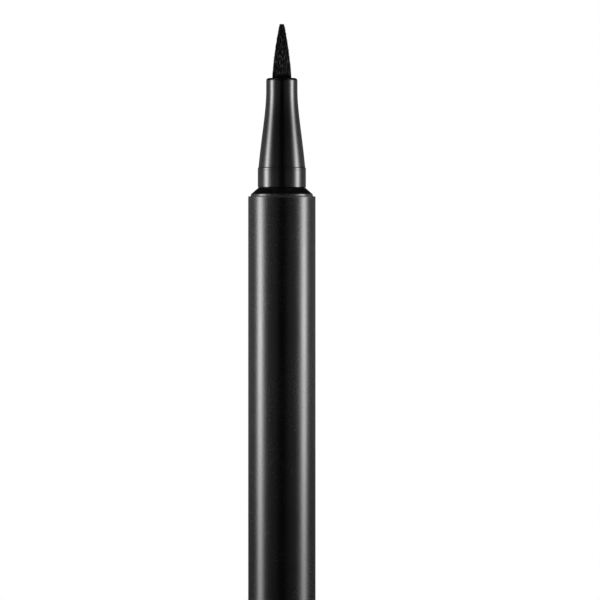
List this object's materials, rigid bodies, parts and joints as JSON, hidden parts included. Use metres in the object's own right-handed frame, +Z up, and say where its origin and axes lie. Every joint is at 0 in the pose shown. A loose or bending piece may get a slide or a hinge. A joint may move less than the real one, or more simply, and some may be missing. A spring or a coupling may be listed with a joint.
{
  "type": "liquid eyeliner pen",
  "caption": "Slim black liquid eyeliner pen: pointed felt nib in a flared nozzle, fibre reservoir in a straight barrel, and a pull-off cap with a sprung inner seal, posted on its tail.",
  "frame": {"origin": "middle of the cap's closed end, the flat face on which the pen stands", "axes": "+Z up along the pen's axis, from the posted cap to the felt nib; X and Y are alike"},
  "size_m": [0.0102, 0.0102, 0.1565],
  "materials": {
    "felt": "matte",
    "front_plastic": "satin",
    "barrel_plastic": "satin",
    "film": "satin",
    "ink_fibre": "matte",
    "seal_plastic": "satin",
    "spring_steel": "polished"
  },
  "bodies": {
    "cap": {"cap_shell": "barrel_plastic", "cap_sleeve": "front_plastic", "cap_spring": "spring_steel"},
    "pen": {"barrel": "barrel_plastic", "neck_collar": "front_plastic", "nozzle": "front_plastic", "felt_nib": "felt", "ink_reservoir": "ink_fibre", "reservoir_film": "film", "rear_plug": "front_plastic"},
    "inner_cap": {"inner_cap": "seal_plastic"}
  },
  "joints": [
    {"name": "cap_pull", "type": "slide", "parent": "cap", "child": "pen", "axis": [0, 0, 1], "range_m": [0, 0.02]},
    {"name": "inner_cap_slide", "type": "slide", "parent": "cap", "child": "inner_cap", "axis": [0, 0, -1], "range_m": [0, 0.003], "stiffness_N_per_m": 85, "springref_m": -0.0035, "deforming": ["cap_spring"]}
  ]
}
